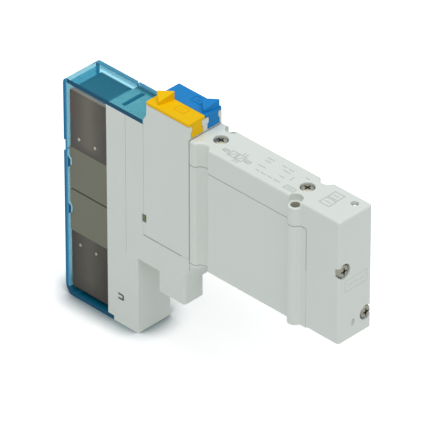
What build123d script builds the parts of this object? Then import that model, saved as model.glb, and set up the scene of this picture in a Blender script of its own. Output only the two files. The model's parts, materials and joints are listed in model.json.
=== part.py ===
from build123d import *
from math import sqrt
import os

# One station of a pneumatic valve island: a narrow, base-mounted spool valve with two
# solenoid pilots stacked at one end under a clear clip-on cover.
# Millimetres. +X runs from the solenoids to the end cover, +Y across the station, +Z up.
# The origin is midway between the two mounting holes, in the plane of the manifold face.

os.makedirs("parts", exist_ok=True)

# ---- station ----
pitch = 10.5             # width of one station on the island
half = pitch / 2
lane = pitch / 4         # centre line of each of the two circuits, sliders and pins

# ---- mounting bosses, which nest in the neighbour's scallops ----
hole_spacing = 28.8
mount_hole_r = 1.15
boss_wall = 0.55
boss_proud = 1.45        # how far a boss stands out of the station's side
nest_gap = 0.15
boss_r = mount_hole_r + boss_wall
hole_x = hole_spacing / 2
hole_y = half + boss_proud - boss_r
scallop_r = boss_r + nest_gap
scallop_y = pitch - hole_y

# ---- valve body ----
flange_length = 3.8      # pilot flange to the nearer mounting hole
land_length = 3.6        # farther mounting hole to the end wall's joint
body_height = 26.6
side_relief = 0.25       # main walls set back from the station's side
wall_y = half - side_relief
x_flange = -hole_x - flange_length
x_joint = hole_x + land_length
scallop_reach = sqrt(scallop_r**2 - (scallop_y - wall_y)**2)
corner_r = 0.4
boss_blend_r = 0.35      # root of a boss, and scallop's edge, on the wall
land_blend_r = 0.8       # the same on the flange and the land
turn_r = 0.8             # where the joint under the lid turns down
joint_r = 0.12           # broken edge along a joint

# ---- spool and pistons ----
bore_z = 12.1            # height of the spool's axis
spool_bore_r = 2.6
port_spacing = 4.2
port_width = 2.2
port_length = 5.4
groove_r = 3.3           # annular port grooves
spool_travel = port_spacing / 2
spool_neck_r = 1.5
seal_width = 0.9
seal_height = 0.5
land_width = 1.5
running_gap = 0.04
piston_r = 3.36
piston_thickness = 2.2
packing_width = 1.0
packing_height = 0.6
chamber_wall = 1.15      # left between a piston chamber and a mounting hole
end_play = 0.1
chamber_r = piston_r + running_gap
chamber_inner = flange_length - mount_hole_r - chamber_wall
chamber_outer = piston_thickness + spool_travel + 2 * end_play - chamber_inner + 0.7
chamber_end = piston_thickness + spool_travel + 2 * end_play

# ---- end cover ----
lid_height = 6.4
cap_length = 10.0
cap_lift = 0.45          # end wall's underside above the manifold face
head_sink = 1.7          # boss tops below the lid's top
edge_r = 0.6
cap_corner_r = 0.7
boss_edge_r = 0.3
z_lid = body_height + lid_height
z_boss = z_lid - head_sink
x_cap = x_joint + cap_length

# ---- screws ----
screw_r = 0.95
screw_gap = 0.05
head_r = 1.65
head_height = 1.1
recess_gap = 0.15
end_recess_gap = 0.3
recess_depth = 1.0
top_screw_x = 13.3
top_screw_length = 10.0
end_screw_y = 3.6
end_screw_z = 7.2        # above and below the spool's axis
end_screw_grip = 1.6     # thread in the body
tie_screw_r = 0.8
tie_head_r = 1.45
tie_head_height = 1.0
tie_drop = 8.1           # upper tie screw below the body's top
tie_grip = 3.0

# ---- override block ----
block_length = 14.4
shelf_thickness = 0.6    # tongue of the plug housing under block and flange
block_rise = 3.3         # block's top above the lid
block_edge_r = 0.15
x_block = x_flange - block_length
block_setback = 1.1      # head of the block set back above the cover
setback_drop = 2.0
setback_r = 2.8

# ---- override sliders, pins and springs ----
slider_gap = 0.1
flange_thick = 0.7
foot_width = 3.7
foot_height = 1.3
neck_width = 2.9
lip_r = 0.35
slot_depth = 3.2
slider_travel = 2.5
ramp_slope = 0.32        # pin travel for each millimetre of slider travel
grip_height = 2.1        # along the crest
grip_low = 0.85          # at the front corner
grip_length = 3.4
grip_reach = 4.9         # front corner to rear corner
grip_skew = 0.9          # front corner behind the rear one
grip_tip_y = 2.0         # tip to front corner, across
grip_inset_a = 0.85      # front corner from the lane's front
grip_inset_b = 0.3
grip_air = 0.15
grip_back_a = 5.0        # steep face of the first grip, from the block's left end
grip_back_b = 0.05        # steep face of the second grip, from the block's right end
mark_length = 3.2
mark_width = 2.3
mark_shift = 0.75        # both marks stand off their lanes towards the rear
mark_line = 0.25
mark_depth = 0.12
mark_x = 9.0             # mark's centre from the block's left end
pin_r = 1.2
pin_dome_r = 1.6
pin_length = 7.6
pin_gap = 0.04
ramp_end = 0.4           # ramp left over the pin when the slider is fully across
pin_x_a = 5.4            # pins, from the block's left end
pin_x_b = 9.2
pin_ring_r = 0.3         # cord radius of the pin's ring seal
pin_bore_depth = 10.6
duct_r = 0.5
duct_small_r = 0.42      # every second run, which ends inside the wider ones
duct_b_drop = 5.1        # the other pilot's gallery below the body's top

# ---- plug housing and pilot carrier ----
housing_length = 5.7
carrier_length = 6.0
column_sink = 2.45       # top of housing and carrier below the lid's top
leg_shelf = 3.7          # leg is deeper than the carrier above it by this much
neck_drop = 6.9          # underside of the shelf over the notch
foot_length = 8.4
foot_width_y = 6.2
foot_drop = 12.5
foot_corner_r = 0.7
cove_edge_r = 0.5
leg_corner_r = 0.3
latch_drop = 20.3        # latch window's top below the body's top
latch_height = 2.2
latch_lap = (0.5, 0.9)   # window's reach into housing and block
latch_depth = 1.0
foot_x = x_flange - 1.45 # right face of the foot
cove_r = neck_drop       # cove that clears the manifold's edge
x_housing = x_block - housing_length
x_carrier = x_housing - carrier_length
x_leg = x_housing + leg_shelf
x_tongue = -hole_x + scallop_reach
seam_depth = 0.1
seam_width = 0.12

# ---- circuit board, lamps and connector ----
skin = 1.1               # moulded wall round the board
board_thick = 1.0
leg_floor = 6.0          # solid foot of the leg under the board
light_width = 1.3
light_length = 6.8
light_shift = 0.5        # towards the rear
light_inset = 3.0        # light slot's centre from the carrier's left face
light_sink = 0.35
lamp_size = 1.4
tube_r = 1.15            # bosses that carry air through the board's space
contact_size = 0.5
contact_pitch = 1.3
insert_wall = 0.9
insert_depth = 4.6
insert_corner_r = 0.5
contact_tip = 1.2        # contacts' ends above the foot's underside
contact_rise = 1.1       # contacts' run above the notch

# ---- pilots ----
pilot_depth = 12.25
pilot_side_gap = 0.3
pilot_body_height = 11.2
can_height = 16.3
pilot_split = 0.45
can_air = 0.825          # can to carrier's level
can_wall = 0.6
can_corner_r = 2.1
can_edge_r = 0.55        # upright edges
can_brow_r = 1.2         # along the top, front and rear
spigot_height = 1.2
spigot_gap = 0.05
bobbin_bore_r = 1.8
bobbin_wall = 0.6
bobbin_flange = 0.8
bobbin_neck = 0.6        # tube beyond the outer flange, clear of the can's round corners
orifice_r = 0.28
winding_r = 4.1
armature_r = 1.74
armature_travel = 0.4
armature_top = 20.1      # above the pilot body's inner end
poppet_r = 1.1
poppet_height = 1.2
poppet_proud = 0.6
seat_z = 7.4
seat_r = 0.7
chamber_floor = 6.2
pilot_chamber_r = 2.3
spring_r = 0.75
spring_wire = 0.13
spring_length = 5.0
spring_turns = 5
terminal_size = 0.5
terminal_y = 2.5
terminal_rise = 0.5      # into the bobbin
terminal_drop = 1.4      # turn below the pilot body's outer end
terminal_x = 4.3         # from the solenoid's axis
gasket_thick = 0.5
gasket_inset = 1.6
gasket_round = 0.6
dimple_r = 0.6
dimple_depth = 0.25
dimple_rise = 3.1        # above the can's open edge
dimple_x = (-3.05, 2.05)  # from the solenoid's axis

# ---- clip-on cover ----
cover_wall = 1.15
cover_gap = 0.4          # cover to pilots
cover_lap_top = 11.5     # over the carrier and housing
cover_lap_bottom = 1.9   # under the leg
cover_r_top = 1.6
cover_r_bottom = 2.8
hook_height = 0.95
hook_rise = 3.4
hook_pocket = 0.1        # air round a hook in the pilot body
hook_shift = {1: 1.4, -1: 0.2}  # hooks above the middle of each pilot body
nail_rise = 11.2         # nail slot above the middle of the pilots
nail_height = 3.0
nail_depth = 0.5

# ---- derived heights and stations ----
block_top = z_lid + block_rise
setback_z = block_top - setback_drop
slot_floor = block_top - slot_depth
column_top = z_lid - column_sink
z_cover = column_top + cover_wall
x_pilot = x_carrier - pilot_depth / 2
pilot_half = half - pilot_side_gap
stack_half = pilot_split / 2 + pilot_body_height + can_height + can_air
pilot_mid = column_top - stack_half
z_leg = pilot_mid - stack_half - cover_wall
pilot_z = pilot_mid + pilot_split / 2
duct_a_z = pilot_z + pilot_body_height / 2
duct_b_z = body_height - duct_b_drop
tie_screw_z = body_height - tie_drop
tie_low_z = pilot_mid
x_cover = x_carrier - pilot_depth - cover_gap - cover_wall
pin_x = {-1: x_block + pin_x_a, 1: x_block + pin_x_b}


# ---- drawing helpers ----
def rect(a0, a1, b0, b1):
    """Rectangle between two pairs of coordinates."""
    return Pos((a0 + a1) / 2, (b0 + b1) / 2) * Rectangle(a1 - a0, b1 - b0)


def upright(profile, z0, z1):
    """A plan profile raised from one level to another."""
    return extrude(Pos(0, 0, z0) * profile, amount=z1 - z0)


def across(profile, y0, y1):
    """A side profile, drawn in X and Z, carried across the station."""
    side = Plane(origin=(0, y1, 0), x_dir=(1, 0, 0), z_dir=(0, -1, 0))
    return extrude(side * profile, amount=y1 - y0)


def along(profile, x0, x1):
    """An end profile, drawn in Y and Z, carried along the valve."""
    end = Plane(origin=(x0, 0, 0), x_dir=(0, 1, 0), z_dir=(1, 0, 0))
    return extrude(end * profile, amount=x1 - x0)


def block(x0, x1, y0, y1, z0, z1):
    """Square-cornered pocket or pad."""
    return upright(rect(x0, x1, y0, y1), z0, z1)


def bar_z(radius, x, y, z0, z1):
    """Round bar or hole along Z."""
    return upright(Pos(x, y) * Circle(radius), z0, z1)


def bar_x(radius, y, z, x0, x1):
    """Round bar or hole along X."""
    return along(Pos(y, z) * Circle(radius), x0, x1)


def drilled(*points):
    """Air passage along straight runs; every second run is narrower and ends inside its neighbours."""
    runs = list(zip(points, points[1:]))
    overrun = duct_small_r + 0.1
    passage = None
    for i, (start, end) in enumerate(runs):
        start, end = Vector(*start), Vector(*end)
        way = (end - start).normalized()
        wide = i % 2 == 0
        if wide and i > 0:
            start -= way * overrun
        if wide and i < len(runs) - 1:
            end += way * overrun
        section = Plane(origin=start, z_dir=way) * Circle(duct_r if wide else duct_small_r)
        run = extrude(section, amount=(end - start).length)
        passage = run if passage is None else passage + run
    return passage


def round_corners(sketch, corners, radius):
    """Rounds the sketch's vertices that lie nearest the given corners."""
    chosen = [sketch.vertices().sort_by_distance((a, b, 0))[0] for a, b in corners]
    return fillet(chosen, radius)


def polygon(*points):
    """Closed straight-sided profile."""
    return make_face(Polyline(*points, close=True))


def turned(points, x, y, z, axis):
    """Solid of revolution: points are (distance along the axis, radius)."""
    if axis == "X":
        face = make_face(Plane.XZ * Polyline(*points, close=True))
        return Pos(x, y, z) * revolve(face, axis=Axis.X)
    face = make_face(Plane.XZ * Polyline(*[(r, a) for a, r in points], close=True))
    return Pos(x, y, z) * revolve(face, axis=Axis.Z)


def ring_x(outer, inner, x0, x1, y, z):
    """Flat ring round an axis along X."""
    return bar_x(outer, y, z, x0, x1) - bar_x(inner, y, z, x0, x1)


def coil_spring(x, y, z0, z1, radius, wire, turns):
    """Open coil spring between two levels."""
    height = z1 - z0 - 2 * wire
    path = Helix(pitch=height / turns, height=height, radius=radius)
    section = Plane(origin=path @ 0, z_dir=path % 0) * Circle(wire)
    return Pos(x, y, z0 + wire) * sweep(section, path=path)


def cross_recess(head, depth):
    """Driver recess of a small cross-head screw, cut down from z = 0."""
    arm = Rectangle(head * 1.15, head * 0.24) + Rectangle(head * 0.24, head * 1.15)
    middle = Rectangle(head * 0.55, head * 0.55, rotation=45)
    return upright(arm + middle, -depth, 1)


def screw(length, radius, head, head_tall):
    """Pan-head screw on +Z, with its head's underside at z = 0 and the shank below."""
    rim = head_tall * 0.55
    points = [(-length, 0), (-length, radius - 0.2), (-length + 0.3, radius), (0, radius), (0, head),
              (rim, head), (head_tall * 0.82, head * 0.86), (head_tall * 0.96, head * 0.6),
              (head_tall, head * 0.3), (head_tall, 0)]
    body = turned(points, 0, 0, 0, "Z")
    return body - Pos(0, 0, head_tall) * cross_recess(head, head_tall * 0.65)


# ---- valve outline, shared by body, lid and tongue ----
def valve_outline(x_end):
    """Plan of the valve: flange, relieved walls, nesting bosses and scallops."""
    plan = rect(x_flange, x_end, -wall_y, wall_y)
    plan += rect(x_flange, x_tongue, -half, 0) + rect(x_flange, -hole_x, 0, half)
    plan += rect(hole_x, x_end, -half, 0) + rect(-x_tongue, x_end, 0, half)
    for side in (-1, 1):
        plan += Pos(-side * hole_x, side * hole_y) * Circle(boss_r)
    for side in (-1, 1):
        plan -= Pos(side * hole_x, side * scallop_y) * Circle(scallop_r)
    on_wall = (hole_x - sqrt(boss_r**2 - (wall_y - hole_y)**2), x_tongue)
    on_land = (hole_x + sqrt(boss_r**2 - (half - hole_y)**2),
               -hole_x - sqrt(scallop_r**2 - (scallop_y - half)**2))
    for side in (-1, 1):
        plan = round_corners(plan, [(-side * x, side * wall_y) for x in on_wall], boss_blend_r)
        plan = round_corners(plan, [(-side * x, side * half) for x in on_land], land_blend_r)
    plan = round_corners(plan, [(x_flange, -half), (x_flange, half)], corner_r)
    if x_end > x_joint:
        plan = round_corners(plan, [(x_end, -half), (x_end, half)], cap_corner_r)
    return plan


def mount_holes(z0, z1, radius=mount_hole_r):
    """The two mounting holes, or anything else centred on them."""
    return bar_z(radius, hole_x, -hole_y, z0, z1) + bar_z(radius, -hole_x, hole_y, z0, z1)


# ---- air circuits, cut from every piece they pass through ----
ball_x = x_cap - 2.9
ball_r = 0.93
ball_sink = 0.35
lid_duct_y = hole_y - mount_hole_r - 0.6 - duct_r
lid_duct_z = body_height + 1.6
cap_duct_z = bore_z + 1.2
riser_x = -hole_x - mount_hole_r - 1.6
gallery_x = x_housing + housing_length / 2
chamber_x0 = x_flange - chamber_outer
chamber_x1 = x_joint + chamber_end


def circuit_a():
    """From the upper pilot to the chamber behind the first piston."""
    turn = chamber_x0 - 0.8
    entry = bore_z - 1.4
    return drilled((x_carrier - 0.5, -lane, duct_a_z), (turn, -lane, duct_a_z),
                   (turn, -lane, entry), (chamber_x0 + 0.05, -lane, entry))


def circuit_b():
    """From the lower pilot, over the spool and down to the other piston."""
    port = pilot_port_z(-1)
    to_lid = drilled((x_carrier - 0.5, lane, port), (gallery_x, lane, port), (gallery_x, lane, duct_b_z),
                     (riser_x, lane, duct_b_z), (riser_x, lane, lid_duct_z))
    to_cap = drilled((riser_x - 0.8, lid_duct_y, lid_duct_z), (ball_x, lid_duct_y, lid_duct_z),
                     (ball_x, lid_duct_y, cap_duct_z), (chamber_x1 - 0.05, lid_duct_y, cap_duct_z))
    plug_bore = bar_z(duct_small_r, ball_x, lid_duct_y, lid_duct_z, z_lid - 2 * ball_r)
    return Compound(children=[to_lid, to_cap + plug_bore])


def supply():
    """Pilot supply shared by the two pilots."""
    return drilled((x_carrier - 0.5, 0, pilot_port_z(1)), (gallery_x, 0, pilot_port_z(1)),
                   (gallery_x, 0, pilot_port_z(-1)), (x_carrier - 0.5, 0, pilot_port_z(-1)))


def pilot_port_z(up):
    """Height of a pilot's outlet; up is +1 for the upper pilot and -1 for the lower."""
    return pilot_mid + up * (duct_a_z - pilot_mid)


# ---- valve body ----
port_x = [(i + 0.5) * port_spacing for i in range(-2, 3)]
base_seal_x0 = port_x[0] - port_width / 2 - 1.2
base_seal_x1 = port_x[-1] + port_width / 2 + 1.2
base_seal_y = wall_y - 1.0
lid_seal_x0 = x_flange + 0.5
lid_seal_x1 = x_joint - turn_r - 0.4
lid_seal_y = scallop_y - scallop_r - 0.35
top_screw_spots = [(-top_screw_x, 0), (top_screw_x, 0)]
end_screw_spots = [(-end_screw_y, bore_z + end_screw_z), (end_screw_y, bore_z - end_screw_z)]
tie_spots = [(0, tie_screw_z), (-lane, tie_low_z)]
head_seat = z_lid - recess_depth - 0.2
top_screw_tip = head_seat - top_screw_length


def at_edges(solid, x, z):
    """The edge across the station at a place in X and Z."""
    across_edges = solid.edges().filter_by(Axis.Y)
    return [e for e in across_edges if abs(e.center().X - x) < 0.01 and abs(e.center().Z - z) < 0.01]


def side_edges(solid, z, x):
    """The outer edges of a joint at level z that turns down at x."""
    chosen = []
    for e in solid.edges():
        box = e.bounding_box()
        level = box.max.Z - box.min.Z < 0.01 and abs(box.max.Z - z) < 0.01 and box.max.X < x + 0.01
        turning = abs(box.max.X - x) < 0.01 and box.max.Z < z + 0.01
        if (level or turning) and box.max.Y - box.min.Y < 2 * wall_y:
            chosen.append(e)
    return chosen


def make_valve_body():
    body = upright(valve_outline(x_joint), 0, body_height)
    body = fillet(at_edges(body, x_joint, body_height), turn_r)
    body = fillet(side_edges(body, body_height, x_joint), joint_r)
    body -= block(x_flange - 1, x_tongue, -pitch, pitch, -1, shelf_thickness)
    body -= mount_holes(-1, body_height + 1)
    body -= bar_x(spool_bore_r, 0, bore_z, x_flange - 1, x_joint + 1)
    body -= bar_x(chamber_r, 0, bore_z, x_flange - 1, x_flange + chamber_inner)
    for x in port_x:
        body -= bar_x(groove_r, 0, bore_z, x - port_width / 2, x + port_width / 2)
        slot = Pos(x, 0) * SlotOverall(port_length, port_width, rotation=90)
        body -= upright(slot, -1, bore_z)
    body -= upright(base_seal_plan(), -1, gasket_thick)
    body -= upright(lid_seal_plan(), body_height - gasket_thick, body_height + 1)
    for x, y in top_screw_spots:
        body -= bar_z(screw_r + screw_gap, x, y, top_screw_tip - 0.4, body_height + 1)
    for y, z in end_screw_spots:
        body -= bar_x(screw_r + screw_gap, y, z, x_joint - end_screw_grip - 0.2, x_joint + 1)
    for y, z in tie_spots:
        body -= bar_x(tie_screw_r + screw_gap, y, z, x_flange - 1, x_flange + tie_grip + 0.2)
    return body - circuit_b()


def lid_seal_plan():
    """Gasket bed between body and lid, inside the mounting holes."""
    bed = rect(lid_seal_x0, lid_seal_x1, -lid_seal_y, lid_seal_y)
    return fillet(bed.vertices(), gasket_round)


def base_seal_plan():
    """Gasket bed between the body and the manifold."""
    bed = rect(base_seal_x0, base_seal_x1, -base_seal_y, base_seal_y)
    return fillet(bed.vertices(), gasket_round)


def make_base_gasket():
    pad = base_seal_plan()
    for x in port_x:
        pad -= Pos(x, 0) * SlotOverall(port_length, port_width, rotation=90)
    return upright(pad, 0, gasket_thick)


def make_cover_gasket():
    pad = lid_seal_plan()
    for x, y in top_screw_spots:
        pad -= Pos(x, y) * Circle(screw_r + 0.25)
    pad -= Pos(riser_x, lane) * Circle(duct_r)
    return upright(pad, body_height - gasket_thick, body_height)


# ---- end cover: lid and end wall in one moulding ----


def make_end_cover():
    lid = upright(valve_outline(x_cap), body_height, z_lid)
    wall = rect(x_joint, x_cap, -half, half)
    wall = round_corners(wall, [(x_cap, -half), (x_cap, half)], cap_corner_r)
    cover = lid + upright(wall, cap_lift, body_height)
    cover = fillet(at_edges(cover, x_joint, body_height), turn_r)
    cover = fillet(side_edges(cover, body_height, x_joint), joint_r)
    rim = cover.edges().filter_by_position(Axis.Z, z_lid - 0.01, z_lid + 0.01)
    cover = fillet(rim, edge_r)
    cover -= mount_holes(z_boss, z_lid + 1, scallop_r)
    brows = cover.edges().filter_by_position(Axis.Z, z_boss - 0.01, z_boss + 0.01)
    cover = fillet([e for e in brows if abs(e.center().Y) > hole_y + 0.5], boss_edge_r)
    cover -= mount_holes(0, z_lid)
    for x, y in top_screw_spots:
        cover -= bar_z(screw_r + 0.15, x, y, body_height - 1, z_lid)
        cover -= bar_z(head_r + recess_gap, x, y, head_seat, z_lid + 1)
    for y, z in end_screw_spots:
        cover -= bar_x(screw_r + 0.15, y, z, x_joint - 1, x_cap)
        cover -= bar_x(head_r + end_recess_gap, y, z, x_cap - recess_depth - 0.1, x_cap + 1)
    cover -= bar_x(chamber_r, 0, bore_z, x_joint - 1, chamber_x1)
    cover -= circuit_b()
    cover -= bar_z(ball_r + 0.02, ball_x, lane, z_lid - ball_sink - 2 * ball_r, z_lid + 1)
    vent = Pos(-0.65, cap_lift + 3.75) * SlotOverall(2.0, 1.2, rotation=90)
    return cover - along(vent, x_cap - 0.5, x_cap + 1)


def make_sealing_ball():
    return Pos(ball_x, lane, z_lid - ball_sink - ball_r) * Sphere(ball_r)


# ---- spool and pistons ----
seal_x = [k * port_spacing for k in (-2.5, -1.5, 0, 0.5, 2, 3)]
piston_a_x = x_flange - chamber_outer + end_play
piston_b_x = x_joint + end_play
spool_x0 = piston_a_x + piston_thickness
spool_x1 = piston_b_x
land_r = spool_bore_r - 2 * running_gap
seal_inner_r = spool_bore_r - seal_height


def make_spool():
    profile = [(spool_x0, 0), (spool_x0, spool_neck_r)]
    for x in seal_x:
        profile += [(x - land_width / 2, spool_neck_r), (x - land_width / 2, land_r),
                    (x - seal_width / 2, land_r), (x - seal_width / 2, seal_inner_r),
                    (x + seal_width / 2, seal_inner_r), (x + seal_width / 2, land_r),
                    (x + land_width / 2, land_r), (x + land_width / 2, spool_neck_r)]
    profile += [(spool_x1, spool_neck_r), (spool_x1, 0)]
    return turned(profile, 0, 0, bore_z, "X")


def make_spool_seals():
    rings = [ring_x(spool_bore_r - 0.02, seal_inner_r, x - seal_width / 2,
                    x + seal_width / 2, 0, bore_z) for x in seal_x]
    return Compound(children=rings)


def make_piston(x0):
    packing_x = x0 + (piston_thickness - packing_width) / 2
    disc = bar_x(piston_r, 0, bore_z, x0, x0 + piston_thickness)
    return disc - ring_x(chamber_r + 1, piston_r - packing_height, packing_x,
                         packing_x + packing_width, 0, bore_z)


def make_piston_packings():
    rings = []
    for x0 in (piston_a_x, piston_b_x):
        packing_x = x0 + (piston_thickness - packing_width) / 2
        rings.append(ring_x(chamber_r - 0.015, piston_r - packing_height, packing_x,
                            packing_x + packing_width, 0, bore_z))
    return Compound(children=rings)


# ---- screws ----
def make_top_screws():
    one = screw(top_screw_length, screw_r, head_r, head_height)
    return Compound(children=[Pos(x, y, head_seat) * one for x, y in top_screw_spots])


def make_end_screws():
    seat = x_cap - recess_depth - 0.1
    one = screw(seat - x_joint + end_screw_grip, screw_r, head_r, head_height)
    lying = Rot(0, 90, 0) * one
    return Compound(children=[Pos(seat, y, z) * lying for y, z in end_screw_spots])


def make_tie_screws():
    seat = x_carrier + tie_head_height + 0.2
    one = screw(x_flange + tie_grip - seat, tie_screw_r, tie_head_r, tie_head_height)
    lying = Rot(0, -90, 0) * one
    return Compound(children=[Pos(seat, y, z) * lying for y, z in tie_spots])


def tie_holes(x0, x1):
    """Clearance holes for the two tie screws."""
    first, second = [bar_x(tie_screw_r + 0.15, y, z, x0, x1) for y, z in tie_spots]
    return first + second


# ---- override block ----
flange_z = block_top + slider_gap
slider_top = flange_z + flange_thick
foot_z = slot_floor + slider_gap
slider_x0 = x_block + block_setback - 0.1
ramp_top = foot_z + ramp_end + ramp_slope * slider_travel  # ramp over the pin's axis, at rest


def slider_section(grow):
    """Foot and neck of a slider about its lane; grow widens it into the slot."""
    foot_half = foot_width / 2 + grow
    neck_half = neck_width / 2 + grow
    foot_top = foot_z + foot_height + grow
    top = block_top + 2
    section = polygon((-foot_half, foot_z - grow), (foot_half, foot_z - grow),
                      (foot_half, foot_top), (neck_half, foot_top + lip_r), (neck_half, top),
                      (-neck_half, top), (-neck_half, foot_top + lip_r), (-foot_half, foot_top))
    return section


def make_override_block():
    end = rect(-half, half, shelf_thickness, block_top)
    end = round_corners(end, [(-half, shelf_thickness), (half, shelf_thickness)], block_edge_r)
    for side in (-1, 1):
        end -= Pos(side * lane, 0) * slider_section(slider_gap)
    lips = [v for v in end.vertices() if abs(v.Y - block_top) < 0.01 and abs(v.X) < half - 0.1]
    end = fillet(lips, lip_r)
    body = along(end, x_block, x_flange)
    low_z = setback_z - sqrt(setback_r**2 - (setback_r - block_setback)**2)
    arc = RadiusArc((x_block, low_z), (x_block + block_setback, setback_z), -setback_r)
    side = make_face(Line((x_block, shelf_thickness - 1), (x_block, low_z)) + arc + Polyline(
        (x_block + block_setback, setback_z), (x_block + block_setback, block_top + 1),
        (x_flange, block_top + 1), (x_flange, shelf_thickness - 1), (x_block, shelf_thickness - 1)))
    body &= across(side, -half, half)
    plan = fillet(rect(x_block, x_flange, -half, half).vertices(), block_edge_r)
    body &= upright(plan, shelf_thickness, block_top)
    for side in (-1, 1):
        x = pin_x[side]
        duct_z = duct_a_z if side < 0 else duct_b_z
        body -= bar_z(pin_r + pin_gap, x, side * lane, slot_floor - pin_bore_depth, slot_floor + 1)
        body -= bar_z(duct_small_r, x, side * lane, duct_z, slot_floor - pin_bore_depth + 1)
    body -= bar_x(chamber_r, 0, bore_z, chamber_x0, x_flange + 1)
    body -= circuit_a()
    body -= circuit_b()
    body -= latch_window()
    body -= tie_holes(x_block - 1, x_flange + 1)
    body -= along(gasket_outline(valve_gasket_z0, valve_gasket_z1), x_flange - gasket_thick, x_flange + 1)
    body -= along(gasket_outline(block_gasket_z0, block_gasket_z1), x_block - 1, x_block + gasket_thick)
    return body


def latch_window():
    """Small window over the joint between block and housing, on the front."""
    top = body_height - latch_drop
    return block(x_block - latch_lap[0], x_block + latch_lap[1], -half - 1, -half + latch_depth,
                 top - latch_height, top)


# ---- gaskets on the two flange joints ----
valve_gasket_z0 = bore_z - chamber_r - 0.6
valve_gasket_z1 = duct_b_z + 2.0
block_gasket_z0 = duct_a_z - 1.8
block_gasket_z1 = duct_b_z + 2.0


def gasket_outline(z0, z1):
    pad = rect(-half + 1.0, half - 1.0, z0, z1)
    return fillet(pad.vertices(), gasket_round)


def make_valve_gasket():
    pad = gasket_outline(valve_gasket_z0, valve_gasket_z1)
    pad -= Pos(0, bore_z) * Circle(chamber_r)
    pad -= Pos(lane, duct_b_z) * Circle(duct_r)
    pad -= Pos(0, tie_screw_z) * Circle(tie_screw_r + 0.15)
    return along(pad, x_flange - gasket_thick, x_flange)


def make_block_gasket():
    pad = gasket_outline(block_gasket_z0, block_gasket_z1)
    pad -= Pos(-lane, duct_a_z) * Circle(duct_r)
    pad -= Pos(lane, duct_b_z) * Circle(duct_r)
    pad -= Pos(0, tie_screw_z) * Circle(tie_screw_r + 0.15)
    return along(pad, x_block, x_block + gasket_thick)


# ---- override sliders, pins and springs ----
def slider_grip(side):
    """Arrow-shaped finger grip, lowest at its front corner; its tip points the way the slider goes."""
    back = x_block + grip_back_a if side < 0 else x_flange - grip_back_b
    front = -half + grip_inset_a if side < 0 else grip_inset_b
    low = (back - grip_skew, front)
    high = (back, front + grip_reach)
    tip = (back - grip_length, front + grip_tip_y)
    plan = fillet(polygon(low, high, tip).vertices(), 0.25)
    crest_z = slider_top + grip_height
    grip = upright(plan, slider_top - 0.01, crest_z)
    slope = Plane(origin=(*tip, crest_z), x_dir=(high[0] - tip[0], high[1] - tip[1], 0),
                  z_dir=Vector(high[0] - tip[0], high[1] - tip[1], 0).cross(
                      Vector(low[0] - tip[0], low[1] - tip[1], grip_low - grip_height)) * -1)
    grip = split(grip, bisect_by=slope, keep=Keep.BOTTOM)
    grip = fillet(grip.faces().sort_by(Axis.Z)[-1].edges(), 0.15)
    air = rect(back - 2 * grip_length, back + 1, min(0, -side * pitch), max(0, -side * pitch))
    return grip - upright(air, slider_top - 1, slider_top + grip_air)


def make_slider(side):
    plate_y = sorted((side * slider_gap / 2, side * half))
    plate = rect(slider_x0, x_flange, *plate_y)
    plate = upright(fillet(plate.vertices(), 0.25), flange_z, slider_top)
    stem = polygon_stem()
    body = plate + along(Pos(side * lane, 0) * stem, slider_x0, x_flange) + slider_grip(side)
    x = pin_x[side]
    start = x - pin_r - 0.1
    stop = x + (ramp_top - foot_z) / ramp_slope
    ramp = polygon((start, foot_z - 1), (stop, foot_z - 1), (stop, foot_z),
                   (start, ramp_top - ramp_slope * (start - x)))
    body -= across(ramp, side * lane - pin_r - 0.1, side * lane + pin_r + 0.1)
    mark = Pos(x_block + mark_x, side * lane + mark_shift) * (
        Rectangle(mark_length, mark_width)
        - Rectangle(mark_length - 2 * mark_line, mark_width - 2 * mark_line)
        + Rectangle(mark_length / 3, mark_line))
    return body - upright(mark, slider_top - mark_depth, slider_top + 1)


def polygon_stem():
    """Slider's foot and neck, up to the flange."""
    return slider_section(0) & rect(-half, half, foot_z, flange_z)


def make_pin(side):
    x = pin_x[side]
    centre = ramp_top - (pin_dome_r + 0.03) * sqrt(1 + ramp_slope**2)
    shoulder = centre + sqrt(pin_dome_r**2 - pin_r**2)
    low = shoulder - pin_length
    groove = low + 1.4
    groove_r = pin_r - 2 * pin_ring_r
    outline = Polyline((0, low), (pin_r - 0.2, low), (pin_r, low + 0.2), (pin_r, groove - pin_ring_r - 0.05),
                       (groove_r, groove - pin_ring_r - 0.05), (groove_r, groove + pin_ring_r + 0.05),
                       (pin_r, groove + pin_ring_r + 0.05), (pin_r, shoulder))
    dome = RadiusArc((pin_r, shoulder), (0, centre + pin_dome_r), -pin_dome_r)
    face = make_face(Plane.XZ * (outline + dome + Line((0, centre + pin_dome_r), (0, low))))
    return Pos(x, side * lane, 0) * revolve(face, axis=Axis.Z), low, groove


def make_pin_ring(side, groove):
    ring = Torus(pin_r - pin_ring_r + 0.02, pin_ring_r)
    return Pos(pin_x[side], side * lane, groove) * ring


def make_pin_spring(side, low):
    floor = slot_floor - pin_bore_depth
    return coil_spring(pin_x[side], side * lane, floor, low, 0.85, spring_wire, 3)


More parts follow.
